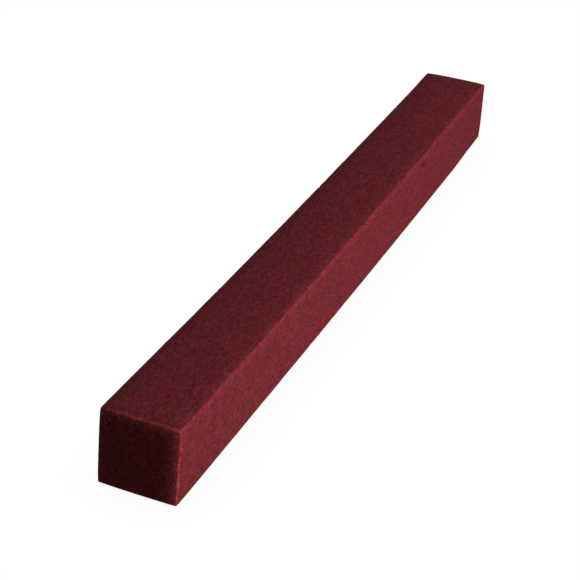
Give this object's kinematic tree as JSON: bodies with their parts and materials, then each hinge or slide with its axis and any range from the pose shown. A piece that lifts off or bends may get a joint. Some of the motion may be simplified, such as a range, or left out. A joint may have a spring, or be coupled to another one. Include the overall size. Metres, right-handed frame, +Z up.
{
  "type": "sanding stick",
  "caption": "Straight square bar of bonded abrasive with softly rounded arrises, held in the hand or in a vice to smooth and deburr small work.",
  "frame": {"origin": "centre of the underside, on the surface that the stick lies on", "axes": "+X along the stick's length, +Y across its width, +Z up"},
  "size_m": [0.1524, 0.0126, 0.0127],
  "materials": {
    "bonded_abrasive": "matt, fine-grained, dark red-brown abrasive compound with small lighter grains and a slightly lighter worn edge"
  },
  "bodies": {
    "root": {"abrasive_stick": "bonded_abrasive"}
  },
  "joints": []
}
